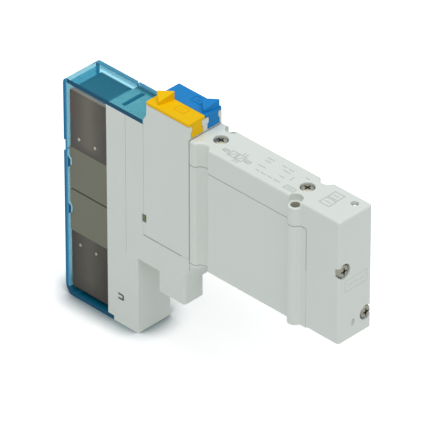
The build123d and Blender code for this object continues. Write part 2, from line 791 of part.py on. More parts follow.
# ---- plug housing ----
def make_plug_housing():
    side = make_face(Polyline((x_housing, -neck_drop), (x_housing, column_top), (x_block, column_top),
                              (x_block, shelf_thickness), (x_tongue, shelf_thickness), (x_tongue, 0),
                              (foot_x + cove_r, 0))
                     + RadiusArc((foot_x + cove_r, 0), (foot_x, -neck_drop), -cove_r)
                     + Line((foot_x, -neck_drop), (x_housing, -neck_drop)))
    body = across(side, -half, half)
    body = fillet([e for e in body.edges() if e.geom_type == GeomType.CIRCLE], cove_edge_r)
    beyond = rect(x_flange, x_tongue, -pitch, pitch) - valve_outline(x_joint)
    body -= upright(beyond, -neck_drop - 1, shelf_thickness + 1)
    foot = rect(foot_x - foot_length, foot_x, -half, -half + foot_width_y)
    foot = fillet(foot.vertices(), foot_corner_r)
    foot = upright(foot, -foot_drop, -neck_drop + 0.5)
    body += foot
    boss = valve_outline(x_joint) & rect(x_flange, x_tongue, half - 0.01, pitch)
    body += upright(boss, 0, shelf_thickness)
    body -= mount_holes(-1, shelf_thickness + 1)
    body -= circuit_a()
    body -= circuit_b()
    body -= supply()
    body -= tie_holes(x_housing - 1, x_flange + tie_grip)
    body -= connector_pocket()
    body -= contact_shapes()
    for y in (-half, half):
        body -= block(x_housing - seam_width, x_housing + seam_width, y - seam_depth, y + seam_depth,
                      -neck_drop, column_top + 1)
    return body - latch_window()


def connector_pocket():
    """Space in the foot that the connector insert fills."""
    x0 = foot_x - foot_length + insert_wall
    x1 = foot_x - insert_wall
    y0 = -half + insert_wall
    y1 = -half + foot_width_y - insert_wall
    pocket = fillet(rect(x0, x1, y0, y1).vertices(), insert_corner_r)
    return upright(pocket, -foot_drop, -foot_drop + insert_depth)


def contact_shapes():
    """Four L-shaped contacts from the connector up to the board."""
    x_mid = foot_x - foot_length / 2
    y_mid = -half + foot_width_y / 2
    size = contact_size / 2
    shapes = []
    for i in range(4):
        y = y_mid + (i - 1.5) * contact_pitch
        turn = -neck_drop + contact_rise
        tip = -foot_drop + contact_tip
        path = polygon((x_mid - size, tip), (x_mid + size, tip),
                       (x_mid + size, turn + size), (board_x0 + board_thick, turn + size),
                       (board_x0 + board_thick, turn - size), (x_mid - size, turn - size))
        shapes.append(across(path, y - size, y + size))
    return Compound(children=shapes)


def make_connector_insert():
    return connector_pocket() - contact_shapes() - contact_mouths()


def contact_mouths():
    """Lead-in holes under the contacts."""
    x_mid = foot_x - foot_length / 2
    y_mid = -half + foot_width_y / 2
    mouths = []
    for i in range(4):
        y = y_mid + (i - 1.5) * contact_pitch
        mouths.append(block(x_mid - 0.4, x_mid + 0.4, y - 0.4, y + 0.4, -foot_drop - 1,
                            -foot_drop + contact_tip))
    return Compound(children=mouths)


# ---- pilot carrier with its leg ----
light_x = x_carrier + light_inset
board_x0 = light_x - board_thick / 2
space_x0 = x_carrier + 2.2
space_y = half - skin
space_z0 = z_leg + leg_floor
space_z1 = column_top - 3.0


def air_tubes():
    """Outlet and supply tubes that cross the board's space: (y, z) of each."""
    spots = []
    for up in (1, -1):
        spots += [(-up * lane, pilot_port_z(up)), (0, pilot_port_z(up))]
    return spots


def make_pilot_carrier():
    side = polygon((x_carrier, z_leg + cover_wall), (x_carrier, column_top), (x_housing, column_top),
                   (x_housing, -neck_drop), (x_leg, -neck_drop), (x_leg, z_leg),
                   (x_carrier + cover_lap_bottom, z_leg),
                   (x_carrier + cover_lap_bottom, z_leg + cover_wall))
    body = across(side, -half, half)
    corners = [e for e in body.edges().filter_by(Axis.Z) if abs(e.center().X - x_leg) < 0.01]
    body = fillet(corners, leg_corner_r)
    space = block(space_x0, x_housing, -space_y, space_y, space_z0, space_z1)
    for y, z in air_tubes():
        space -= bar_x(tube_r, y, z, space_x0, x_housing)
    for y, z in tie_spots:
        space -= bar_x(tie_head_r + 0.15 + skin / 2, y, z, space_x0, x_housing)
    body -= space
    body -= circuit_a()
    body -= circuit_b()
    body -= supply()
    body -= tie_holes(x_carrier - 1, x_housing + 1)
    for y, z in tie_spots:
        body -= bar_x(tie_head_r + 0.15, y, z, x_carrier - 1, x_carrier + tie_head_height + 0.2)
    slot = light_plan()
    body -= upright(slot, space_z1 - 1, column_top + 1)
    for up in (1, -1):
        body -= along(pilot_gasket_outline(up), x_carrier - 1, x_carrier + gasket_thick)
    body -= contact_shapes()
    body -= terminals(1)
    body -= terminals(-1)
    return body


def pilot_gasket_outline(up):
    z0 = pilot_z + gasket_inset
    z1 = pilot_z + pilot_body_height - terminal_drop - terminal_size - 0.4
    if up < 0:
        z0, z1 = 2 * pilot_mid - z1, 2 * pilot_mid - z0
    pad = rect(-half + gasket_inset, half - gasket_inset, z0, z1)
    return fillet(pad.vertices(), gasket_round)


def make_pilot_gaskets():
    pads = []
    for up in (1, -1):
        pad = pilot_gasket_outline(up)
        for y, z in air_tubes():
            pad -= Pos(y, z) * Circle(duct_r)
        pads.append(along(pad, x_carrier, x_carrier + gasket_thick))
    return Compound(children=pads)


# ---- circuit board, lamps and light guide ----
def make_circuit_board():
    plate = rect(-space_y + 0.3, space_y - 0.3, space_z0 + 0.3, space_z1 - lamp_size)
    for y, z in air_tubes():
        plate -= Pos(y, z) * Circle(tube_r + 0.2)
    for y, z in tie_spots:
        plate -= Pos(y, z) * Circle(tie_head_r + 0.35 + skin / 2)
    board = along(plate, board_x0, board_x0 + board_thick)
    return board - terminals(1) - terminals(-1)


def make_indicator_lamps():
    lamps = []
    for side in (-1, 1):
        base = rect(side * 1.7 - lamp_size / 2, side * 1.7 + lamp_size / 2,
                    space_z1 - lamp_size, space_z1 - 0.2)
        lamps.append(along(base, board_x0 + 0.1, board_x0 + board_thick - 0.1))
    return Compound(children=lamps)


def light_plan():
    """Round-ended slot over the lamps."""
    return Pos(light_x, light_shift) * RectangleRounded(light_width, light_length, light_width * 0.35)


def make_light_guide():
    return upright(light_plan(), space_z1 - 0.1, column_top - light_sink)


# ---- pilots: drawn upwards from the pilot's inner end, the lower one turned over ----
def placed(shape, up):
    """Puts a pilot's piece at its place, upper as drawn and lower turned over about X."""
    upper = Pos(x_pilot, 0, pilot_z) * shape
    if up > 0:
        return upper
    return Pos(0, 0, pilot_mid) * Rot(180, 0, 0) * Pos(0, 0, -pilot_mid) * upper


def terminal_shape(y):
    """Flat terminal: down out of the bobbin, then into the board."""
    size = terminal_size / 2
    top = pilot_body_height + spigot_height + terminal_rise
    low = pilot_body_height - terminal_drop
    reach = board_x0 + board_thick - x_pilot
    path = polygon((terminal_x - size, top), (terminal_x + size, top), (terminal_x + size, low + size),
                   (reach, low + size), (reach, low - size), (terminal_x - size, low - size))
    return across(path, y - size, y + size)


def terminals(up):
    pair = Compound(children=[terminal_shape(-terminal_y), terminal_shape(terminal_y)])
    return placed(pair, up)


def make_pilot_body(up):
    x0 = -pilot_depth / 2
    x1 = pilot_depth / 2
    body = upright(rect(x0, x1, -pilot_half, pilot_half), 0, pilot_body_height)
    inner = can_wall + spigot_gap
    spigot = rect(x0 + inner, x1 - inner, -pilot_half + inner, pilot_half - inner)
    spigot = fillet(spigot.vertices(), can_edge_r)
    body += upright(spigot, pilot_body_height, pilot_body_height + spigot_height)
    top = pilot_body_height + spigot_height
    body -= bar_z(pilot_chamber_r, 0, 0, chamber_floor, top + 1)
    body += bar_z(seat_r, 0, 0, chamber_floor, seat_z)
    port_z = pilot_port_z(1) - pilot_z
    body -= bar_x(duct_r, 0, port_z, -duct_r, x1 + 1)
    body -= bar_z(orifice_r, 0, 0, port_z, seat_z + 1)
    body -= drilled((x1 + 1, -lane, port_z), (1.2, -lane, port_z), (1.2, -lane / 2, port_z),
                    (1.2, -lane / 2, chamber_floor + 0.3))
    body = placed(body, up)
    middle = hook_middle(up)
    body -= across(hook_shape(middle, hook_pocket), -pitch, pitch)
    return body - terminals(up)


def hook_middle(up):
    """Height of one of the cover's hooks."""
    return pilot_mid + up * (pilot_z - pilot_mid + pilot_body_height / 2) + hook_shift[up]


def make_can(up):
    """Deep-drawn cap over a solenoid, open towards its pilot body."""
    x0 = -pilot_depth / 2
    x1 = pilot_depth / 2
    z0 = pilot_body_height
    z1 = pilot_body_height + can_height
    side = round_corners(rect(x0, x1, z0, z1), [(x0, z1), (x1, z1)], can_corner_r)
    outer = across(side, -pilot_half, pilot_half)
    plan = fillet(rect(x0, x1, -pilot_half, pilot_half).vertices(), can_edge_r)
    outer &= upright(plan, z0, z1)
    brow = round_corners(rect(-pilot_half, pilot_half, z0, z1),
                         [(-pilot_half, z1), (pilot_half, z1)], can_brow_r)
    outer &= along(brow, x0, x1)
    inner_side = round_corners(rect(x0 + can_wall, x1 - can_wall, z0 - 1, z1 - can_wall),
                               [(x0, z1), (x1, z1)], can_corner_r - can_wall)
    cavity = across(inner_side, -pilot_half + can_wall, pilot_half - can_wall)
    plan = fillet(rect(x0 + can_wall, x1 - can_wall, -pilot_half + can_wall,
                       pilot_half - can_wall).vertices(), can_edge_r - can_wall / 2)
    cavity &= upright(plan, z0 - 1, z1)
    y1 = pilot_half - can_wall
    brow = round_corners(rect(-y1, y1, z0 - 1, z1 - can_wall),
                         [(-y1, z1), (y1, z1)], can_brow_r - can_wall)
    can = outer - (cavity & along(brow, x0, x1))
    can -= bar_z(core_rivet_r, 0, 0, z1 - can_wall - 0.1, z1 + 1)
    for x in dimple_x:
        for side in (-1, 1):
            y = side * (pilot_half + dimple_r - dimple_depth)
            can -= Pos(x, y, z0 + dimple_rise) * Sphere(dimple_r)
    return placed(can, up)


core_rivet_r = 1.0
bobbin_z0 = pilot_body_height + spigot_height
bobbin_z1 = pilot_body_height + can_height - can_wall
bobbin_z2 = bobbin_z1 - bobbin_neck
armature_low = seat_z + poppet_proud
spring_half = (spring_length - armature_travel) / 2


def make_bobbin(up):
    x0 = -pilot_depth / 2 + can_wall + 0.2
    y0 = pilot_half - can_wall - 0.2
    flange = fillet(rect(x0, -x0, -y0, y0).vertices(), 0.8)
    body = upright(flange, bobbin_z0, bobbin_z0 + bobbin_flange)
    body += bar_z(bobbin_bore_r + bobbin_wall, 0, 0, bobbin_z0, bobbin_z1)
    body += bar_z(winding_r, 0, 0, bobbin_z2 - bobbin_flange, bobbin_z2)
    body -= bar_z(bobbin_bore_r, 0, 0, bobbin_z0 - 1, bobbin_z1 + 1)
    return placed(body, up) - terminals(up)


def make_winding(up):
    low = bobbin_z0 + bobbin_flange
    high = bobbin_z2 - bobbin_flange
    tube = bar_z(winding_r, 0, 0, low, high) - bar_z(bobbin_bore_r + bobbin_wall, 0, 0, low, high)
    return placed(tube, up)


def make_core(up):
    core_r = bobbin_bore_r - 0.02
    low = armature_top + armature_travel
    core = bar_z(core_r, 0, 0, low, bobbin_z1) + bar_z(core_rivet_r - 0.02, 0, 0, bobbin_z1,
                                                       bobbin_z1 + can_wall)
    core -= bar_z(spring_r + 0.25, 0, 0, low - 1, low + spring_half)
    return placed(core, up)


def make_armature(up):
    plunger = bar_z(armature_r, 0, 0, armature_low, armature_top)
    plunger -= bar_z(spring_r + 0.25, 0, 0, armature_top - spring_half, armature_top + 1)
    plunger -= bar_z(poppet_r + 0.02, 0, 0, armature_low - 1, armature_low + poppet_height - poppet_proud)
    return placed(plunger, up)


def make_poppet(up):
    return placed(bar_z(poppet_r, 0, 0, seat_z, seat_z + poppet_height), up)


def make_return_spring(up):
    low = armature_top - spring_half
    high = armature_top + armature_travel + spring_half
    return placed(coil_spring(0, 0, low, high, spring_r, spring_wire, spring_turns), up)


# ---- clip-on cover ----
def hook_shape(middle, air):
    """Side profile of one of the cover's hooks, or with air round it, of its pocket."""
    x0 = x_cover + cover_wall - 0.01
    x1 = x0 + 0.01 + hook_height + air
    root = hook_rise / 2 + air
    tip = hook_rise / 4 + air
    return polygon((x0, middle - root), (x1, middle - tip), (x1, middle + tip), (x0, middle + root))


def make_pilot_cover():
    top_end = x_carrier + cover_lap_top
    bottom_end = x_carrier + cover_lap_bottom
    inner_x = x_cover + cover_wall
    low = z_leg
    inner_low = low + cover_wall
    strip = polygon((x_cover, z_cover), (x_cover, low), (bottom_end, low), (bottom_end, inner_low),
                    (inner_x, inner_low), (inner_x, column_top), (top_end, column_top), (top_end, z_cover))
    strip = round_corners(strip, [(x_cover, z_cover)], cover_r_top)
    strip = round_corners(strip, [(x_cover, low)], cover_r_bottom)
    strip = round_corners(strip, [(inner_x, inner_low)], cover_r_bottom - cover_wall)
    cover = across(strip, -half, half)
    for up in (1, -1):
        cover += across(hook_shape(hook_middle(up), 0), -half, half)
    nail_z = pilot_mid + nail_rise
    cover -= block(x_cover - 1, x_cover + nail_depth, -pitch, pitch, nail_z - nail_height / 2,
                   nail_z + nail_height / 2)
    cover -= block(x_carrier - 0.3, x_carrier + 0.3, half - 0.4, half + 1, column_top - 1, z_cover + 1)
    return cover


# ---- write every piece ----
def write(node, shape):
    export_step(shape, f"parts/{node}.step")


write("valve_body", make_valve_body())
write("base_gasket", make_base_gasket())
write("cover_gasket", make_cover_gasket())
write("end_cover", make_end_cover())
write("sealing_ball", make_sealing_ball())
write("spool", make_spool())
write("spool_seals", make_spool_seals())
write("piston_a", make_piston(piston_a_x))
write("piston_b", make_piston(piston_b_x))
write("piston_packings", make_piston_packings())
write("top_screws", make_top_screws())
write("end_screws", make_end_screws())
write("tie_screws", make_tie_screws())
write("override_block", make_override_block())
write("valve_gasket", make_valve_gasket())
write("block_gasket", make_block_gasket())
for letter, side in (("a", -1), ("b", 1)):
    pin, pin_low, ring_z = make_pin(side)
    write(f"override_slider_{letter}", make_slider(side))
    write(f"override_pin_{letter}", pin)
    write(f"pin_ring_{letter}", make_pin_ring(side, ring_z))
    write(f"pin_spring_{letter}", make_pin_spring(side, pin_low))
write("plug_housing", make_plug_housing())
write("connector_insert", make_connector_insert())
write("contact_pins", contact_shapes())
write("pilot_carrier", make_pilot_carrier())
write("pilot_gaskets", make_pilot_gaskets())
write("circuit_board", make_circuit_board())
write("indicator_lamps", make_indicator_lamps())
write("light_guide", make_light_guide())
for letter, up in (("a", 1), ("b", -1)):
    write(f"pilot_{letter}_body", make_pilot_body(up))
    write(f"pilot_{letter}_can", make_can(up))
    write(f"pilot_{letter}_bobbin", make_bobbin(up))
    write(f"pilot_{letter}_winding", make_winding(up))
    write(f"pilot_{letter}_core", make_core(up))
    write(f"pilot_{letter}_armature", make_armature(up))
    write(f"pilot_{letter}_poppet", make_poppet(up))
    write(f"pilot_{letter}_spring", make_return_spring(up))
    write(f"pilot_{letter}_terminals", terminals(up))
write("pilot_cover", make_pilot_cover())
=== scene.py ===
# Plug-in valve module: finishes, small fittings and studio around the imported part.
import json
import math

import bpy
from mathutils import Matrix, Vector

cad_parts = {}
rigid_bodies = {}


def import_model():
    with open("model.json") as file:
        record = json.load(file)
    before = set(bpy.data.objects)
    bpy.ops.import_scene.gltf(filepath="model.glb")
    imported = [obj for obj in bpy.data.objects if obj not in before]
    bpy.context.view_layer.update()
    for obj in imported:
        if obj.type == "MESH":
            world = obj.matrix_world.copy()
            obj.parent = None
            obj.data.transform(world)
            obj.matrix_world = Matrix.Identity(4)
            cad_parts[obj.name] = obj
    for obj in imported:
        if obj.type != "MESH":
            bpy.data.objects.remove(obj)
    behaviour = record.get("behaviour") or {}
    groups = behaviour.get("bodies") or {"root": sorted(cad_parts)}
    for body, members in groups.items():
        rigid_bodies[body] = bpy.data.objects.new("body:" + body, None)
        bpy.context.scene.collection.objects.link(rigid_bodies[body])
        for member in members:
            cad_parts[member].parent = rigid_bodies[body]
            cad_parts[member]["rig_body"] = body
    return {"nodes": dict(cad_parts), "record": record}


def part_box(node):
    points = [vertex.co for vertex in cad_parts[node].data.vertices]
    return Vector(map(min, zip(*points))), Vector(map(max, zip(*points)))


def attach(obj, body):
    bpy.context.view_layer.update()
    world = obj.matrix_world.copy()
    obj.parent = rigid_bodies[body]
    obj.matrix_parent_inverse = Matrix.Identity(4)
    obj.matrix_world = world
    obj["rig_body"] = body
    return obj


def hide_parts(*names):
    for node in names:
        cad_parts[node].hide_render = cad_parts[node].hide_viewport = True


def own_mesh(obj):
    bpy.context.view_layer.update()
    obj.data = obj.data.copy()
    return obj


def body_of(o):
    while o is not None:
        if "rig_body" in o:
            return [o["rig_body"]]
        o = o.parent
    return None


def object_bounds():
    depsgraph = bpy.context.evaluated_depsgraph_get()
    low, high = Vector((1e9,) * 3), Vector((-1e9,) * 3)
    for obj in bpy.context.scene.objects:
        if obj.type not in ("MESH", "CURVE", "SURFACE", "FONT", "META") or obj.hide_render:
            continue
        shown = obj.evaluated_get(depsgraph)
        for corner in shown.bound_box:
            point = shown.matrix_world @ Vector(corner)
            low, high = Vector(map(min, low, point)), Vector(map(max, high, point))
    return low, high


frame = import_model()
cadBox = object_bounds()
nodes = frame["nodes"]
mm = 0.001
print("stage 1: frame loaded,", len(nodes), "nodes")


# One wrapped socket: Python arithmetic on it adds Math nodes.
class Value:
    def __init__(self, graph, socket):
        self.graph, self.socket = graph, socket

    def math(self, operation, other=None, swap=False, clamp=False):
        pair = [self] if other is None else [other, self] if swap else [self, other]
        return self.graph.node("ShaderNodeMath", {"operation": operation, "use_clamp": clamp},
                               dict(enumerate(pair)))

    def __add__(self, other):
        return self.math("ADD", other)

    def __radd__(self, other):
        return self.math("ADD", other, True)

    def __sub__(self, other):
        return self.math("SUBTRACT", other)

    def __rsub__(self, other):
        return self.math("SUBTRACT", other, True)

    def __mul__(self, other):
        return self.math("MULTIPLY", other)

    def __rmul__(self, other):
        return self.math("MULTIPLY", other, True)

    def clamped(self):
        return self.math("ADD", 0.0, clamp=True)

    def size(self):
        return self.math("ABSOLUTE")

    def above(self, level):
        return self.math("GREATER_THAN", level)

    def below(self, level):
        return self.math("LESS_THAN", level)


# A material under construction.
class Finish:
    def __init__(self, name):
        self.material = bpy.data.materials.new(name)
        self.material.use_nodes = True
        self.tree = self.material.node_tree
        self.tree.nodes.clear()

    def node(self, kind, settings=None, inputs=None, output=0):
        made = self.tree.nodes.new(kind)
        for key, value in (settings or {}).items():
            setattr(made, key, value)
        for key, value in (inputs or {}).items():
            if isinstance(value, Value):
                self.tree.links.new(value.socket, made.inputs[key])
            elif isinstance(value, (tuple, list)) and len(value) == 3 and made.inputs[key].type == "RGBA":
                made.inputs[key].default_value = (*value, 1)
            else:
                made.inputs[key].default_value = value
        return Value(self, made.outputs[output])

    def place(self):
        return self.node("ShaderNodeTexCoord", output="Object")

    # One coordinate in millimetres.
    def along(self, axis):
        return self.node("ShaderNodeSeparateXYZ", {}, {"Vector": self.place()}, axis) * 1000

    # How far the surface turns towards one axis, front or back.
    def facing(self, axis):
        turn = self.node("ShaderNodeTexCoord", output="Normal")
        return self.node("ShaderNodeSeparateXYZ", {}, {"Vector": turn}, axis)

    def stretched(self, x, y, z):
        return self.node("ShaderNodeMapping", {}, {"Vector": self.place(), "Scale": (x, y, z)})

    def noise(self, scale, detail=3.0, roughness=0.5, vector=None):
        return self.node("ShaderNodeTexNoise", {}, {"Vector": vector or self.place(), "Scale": scale,
                                                    "Detail": detail, "Roughness": roughness})

    def blend(self, factor, first, second, kind="MIX"):
        return self.node("ShaderNodeMix", {"data_type": "RGBA", "blend_type": kind},
                         {0: factor, 6: first, 7: second}, 2)

    def between(self, factor, low, high):
        return low + factor * (high - low)

    def bump(self, height, depth, strength=1.0):
        return self.node("ShaderNodeBump", {}, {"Height": height, "Distance": depth, "Strength": strength})

    def done(self, surface):
        output = self.tree.nodes.new("ShaderNodeOutputMaterial")
        self.tree.links.new(surface.socket, output.inputs["Surface"])
        return self.material


def principled(f, **values):
    names = {"colour": "Base Color", "roughness": "Roughness", "metallic": "Metallic", "normal": "Normal",
             "specular": "Specular IOR Level"}
    return f.node("ShaderNodeBsdfPrincipled", {}, {names[k]: v for k, v in values.items()})


# Colour of the painted shadow lines in the seams between mouldings.
seamShadowColour = (0.2, 0.22, 0.21)


# Moulded plastic: slight clouding, fine spark-eroded grain, painted shadow lines where mouldings meet,
# painted shade inside holes.
def mouldedPlastic(name, colour, shade, roughness, grain=1.0, specular=0.5, seams=(), wells=()):
    f = Finish(name)
    cloud = f.noise(90, 4, 0.55)
    fine = f.noise(5200, 2, 0.6)
    tone = f.blend((cloud * 1.6 - 0.3).clamped(), colour, shade)
    for seam in seams:
        tone = f.blend(seamLine(f, **seam), tone, seam.get("colour", seamShadowColour))
    for well in wells:
        tone = f.blend(wellShade(f, **well), tone, well["colour"])
    return f.done(principled(f, colour=tone, roughness=f.between(fine, roughness - 0.06, roughness + 0.07),
                             specular=specular, normal=f.bump(fine, 0.00002 * grain, 0.35)))


# Thin line at one level of an axis, kept between limits along the others.
def seamLine(f, axis, at, half, strength, within=(), colour=None):
    line = (1.6 - (f.along(axis) - at).size() * (1.6 / half)).clamped() * strength
    for other, low, high in within:
        line = line * f.along(other).above(low) * f.along(other).below(high)
    return line


# Inside of a drilled hole, painted dark olive shade below its mouth.
def wellShade(f, at, radius, strength, colour):
    x, y = f.along("X") - at[0], f.along("Y") - at[1]
    return (x * x + y * y).below(radius ** 2) * f.facing("Z").below(0.5) * strength


# Drawn metal with streaks along one axis and a slow change of tone.
def drawnMetal(name, colour, shade, roughness, streak=(1, 1, 0.03), streakScale=2600):
    f = Finish(name)
    lines = f.noise(streakScale, 3, 0.6, f.stretched(*streak))
    cloud = f.noise(160, 3, 0.5)
    tone = f.blend((lines * 0.7 + cloud * 0.5 - 0.1).clamped(), colour, shade)
    return f.done(principled(f, colour=tone, metallic=1.0,
                             roughness=f.between(lines, roughness - 0.08, roughness + 0.1),
                             normal=f.bump(lines, 0.00001, 0.3)))


def rubber(name, colour):
    f = Finish(name)
    fine = f.noise(3800, 3, 0.6)
    tone = f.blend(fine, colour, tuple(c * 1.8 + 0.01 for c in colour))
    return f.done(principled(f, colour=tone, roughness=f.between(fine, 0.55, 0.75),
                             normal=f.bump(fine, 0.00002, 0.3)))


# Clear blue cover look: its colours include a painted shadow for the bottom wall and a painted light band for
# the left rim's inner edge.
coverLook = {"through": (0.655, 0.885, 0.925), "skin": (0.04, 0.50, 0.80), "rim": (0.001, 0.085, 0.17),
             "sideRim": (0.006, 0.17, 0.35), "side": (0.10, 0.44, 0.66), "under": (0.004, 0.13, 0.22),
             "glow": (0.05, 0.36, 0.64), "body": 0.16, "edge": 1.0, "sideShare": 0.42, "underShare": 0.9,
             "roughness": 0.14, "specular": 0.12, "wall": 1.15, "left": -58.1, "bottom": -27.7, "top": 30.5,
             "turn": 2.2, "rear": 3.7, "rearShare": 0.5}


# Thin clear blue moulding: tinted window faces, cut edges that gather the colour, painted shadow on the
# bottom wall and a painted band of light along the inner edge of the left rim.
def clearBlueCover(look):
    f = Finish("clearBlue")
    cloud = f.noise(140, 2, 0.5)
    x, z = f.along("X"), f.along("Z")
    edge = ((f.facing("Y").size() - 0.6) * 3).clamped()
    left = x.below(look["left"] + look["wall"] + 0.1) * z.above(look["bottom"] + look["turn"])
    # Bottom wall: painted shadow in a darker blue.
    under = z.below(look["bottom"] + look["wall"] + 0.2)
    # Painted band of light along the inner part of the left rim.
    innerRimLight = ((x - look["left"] - 0.45) * 1.4).clamped() * left
    tone = f.blend(cloud, look["skin"], tuple(c * 0.92 for c in look["skin"]))
    tone = f.blend(left, tone, look["side"])
    tone = f.blend(z.above(look["top"]) * f.along("Y").above(look["rear"]), tone, look["side"])
    tone = f.blend(under, tone, look["under"])
    tone = f.blend(edge, tone, f.blend(innerRimLight, f.blend(left, look["rim"], look["sideRim"]), look["glow"]))
    skin = principled(f, colour=tone, roughness=look["roughness"], specular=look["specular"])
    window = f.node("ShaderNodeBsdfTransparent", {}, {"Color": look["through"]})
    rear = ((f.along("Y") - look["rear"]) * 1.3).clamped() * z.above(look["top"]) * look["rearShare"]
    wall = f.between(left, look["body"], look["sideShare"]) + rear
    wall = f.between(under, wall, look["underShare"])
    share = f.between(edge, wall, look["edge"])
    return f.done(f.node("ShaderNodeMixShader", {}, {0: share, 1: window, 2: skin}))


# Drawn steel can: brown and grey bands down its face, lighter down its middle and darker towards its sides
# and bottom, a separate brown tone on its flat top; painted highlights on its turned shoulders and dimples,
# painted shade rings round the dimples, and a painted light level that lights the upper can and shades the
# lower one.
canLook = {"dark": (0.078, 0.074, 0.068), "light": (0.150, 0.140, 0.112), "brown": (0.105, 0.078, 0.058),
           "shoulder": (0.42, 0.42, 0.40), "crown": (0.165, 0.125, 0.105), "spot": (0.46, 0.44, 0.39),
           "spotX": (-53.475, -48.375), "spotR": 0.45, "frontY": 4.4, "flat": 0.93, "axis": -50.425,
           "roughness": 0.40}
# Per can: dimple height, painted light level, lower corner and crown heights.
upperCan = {"spotZ": 16.525, "gain": 1.08, "cornerZ": (13.4, 16.0), "crownZ": 29.0}
lowerCan = {"spotZ": -12.525, "gain": 0.80, "cornerZ": (-27.0, -21.0), "crownZ": -8.0}


def drawnCan(name, look, spotZ, gain, cornerZ, crownZ):
    f = Finish(name)
    x, z = f.along("X"), f.along("Z")
    lines = f.noise(620, 3, 0.6, f.stretched(1, 1, 0.05))
    cloud = f.noise(150, 3, 0.5)
    middle = (1.15 - (x - look["axis"]).size() * 0.22).clamped()
    tone = f.blend((middle * 0.75 + lines * 0.5 - 0.25).clamped(), look["dark"], look["light"])
    tone = f.blend(((cloud - 0.48) * 4).clamped() * (1 - middle) * 0.8, tone, look["brown"])
    low = ((z - cornerZ[0]) * (1 / (cornerZ[1] - cornerZ[0]))).clamped()
    tone = f.blend(1 - low, tone, look["dark"])
    nearCrown = (1.25 - (z - crownZ).size() * 0.2).clamped()
    upright = f.facing("Z").size().below(look["flat"])
    # Painted highlights on the turned shoulders and the brow, strongest near the crown.
    turnedHighlight = ((f.facing("X") - 0.12) * 1.6).clamped() * upright * (nearCrown + 0.35)
    browHighlight = ((f.facing("Z") - 0.25) * 2.0).clamped() * f.facing("Z").below(look["flat"]) * 0.45
    tone = f.blend((turnedHighlight * 0.75 + browHighlight).clamped(), tone, look["shoulder"])
    # Each dimple: a painted shade ring and a painted highlight dot.
    for spotX in look["spotX"]:
        away = (x - spotX) * (x - spotX) + (z - spotZ) * (z - spotZ)
        front = f.along("Y").size().above(look["frontY"])
        dimpleShadeRing = (1 - away * (1 / (look["spotR"] * 1.7) ** 2)).clamped() * front
        dimpleHighlightMask = ((1 - away * (1 / look["spotR"] ** 2)) * 1.6).clamped() * front
        tone = f.blend(dimpleShadeRing * 0.5, tone, look["dark"])
        tone = f.blend(dimpleHighlightMask, tone, look["spot"])
    # Painted light level: the upper can lit brighter, the lower can shaded darker.
    tone = f.blend(1.0, tone, (gain, gain, gain), "MULTIPLY")
    tone = f.blend(f.facing("Z").above(look["flat"]), tone, look["crown"])
    return f.done(principled(f, colour=tone, metallic=1.0,
                             roughness=f.between(lines, look["roughness"] - 0.08, look["roughness"] + 0.1),
                             normal=f.bump(lines, 0.00001, 0.3)))


# Painted shade down the mount hole in the valve body and end cover.
holeShade = [{"at": (14.4, -5.0), "radius": 1.35, "strength": 0.60, "colour": (0.34, 0.33, 0.18)}]
resin = {"colour": (0.722, 0.766, 0.722), "shade": (0.703, 0.748, 0.706)}
# Painted shadow lines: along the lid and end-cover seams, the joint under the flange, the shelf under the
# block and the block's edge at the flange.
lidSeam = {"axis": "Z", "at": 26.6, "half": 0.17, "strength": 0.62, "within": [("X", -18.3, 18.05)]}
endSeam = {"axis": "X", "at": 18.0, "half": 0.17, "strength": 0.55, "within": [("Z", 15.5, 26.65)]}
endSeamLow = {"axis": "X", "at": 18.0, "half": 0.12, "strength": 0.12, "within": [("Z", 0.3, 15.5)]}
baseSeam = {"axis": "Z", "at": 0.0, "half": 0.18, "strength": 0.6, "within": [("X", -18.3, -12.6)]}
shelfSeam = {"axis": "Z", "at": 0.6, "half": 0.16, "strength": 0.75, "within": [("X", -32.7, -20.6)],
             "colour": (0.13, 0.14, 0.08)}
flangeSeam = {"axis": "X", "at": -18.2, "half": 0.14, "strength": 0.5}
lidTop = 33.0
blockSeam = dict(flangeSeam, within=[("Z", 0.0, lidTop)])
# Painted shade lines standing in for the engraved label frame and bars on the end face.
inset = {"half": 0.16, "strength": 0.5, "colour": (0.45, 0.48, 0.46)}
plateEngravingShade = [dict(inset, axis=axis, at=at, within=[("X", 27.9, 28.1), ("Y", low, high), ("Z", below, above)])
              for axis, at, low, high, below, above in (
                  ("Y", -3.2, -3.3, -3.1, 13.55, 16.5), ("Y", 3.75, 3.6, 3.9, 13.55, 16.5),
                  ("Z", 13.55, -3.2, 3.75, 13.4, 13.7), ("Z", 16.5, -3.2, 3.75, 16.4, 16.6),
                  ("Z", 15.0, -2.3, -0.9, 14.8, 15.2), ("Z", 15.0, -0.4, 1.0, 14.8, 15.2),
                  ("Z", 15.0, 1.5, 2.9, 14.8, 15.2))]
# Painted shade of the U-shaped latch slit on the leg's front, near black.
cut = {"half": 0.42, "strength": 0.95, "colour": (0.02, 0.028, 0.028)}
latchSlitShade = [dict(cut, axis=axis, at=at, within=[("Y", -6, -5.2), ("X", west, east), ("Z", low, high)])
              for axis, at, west, east, low, high in (
                  ("Z", -19.6, -41.0, -39.4, -19.9, -19.3), ("Z", -20.8, -41.0, -39.4, -21.1, -20.5),
                  ("X", -39.4, -39.7, -39.1, -20.9, -19.5))]
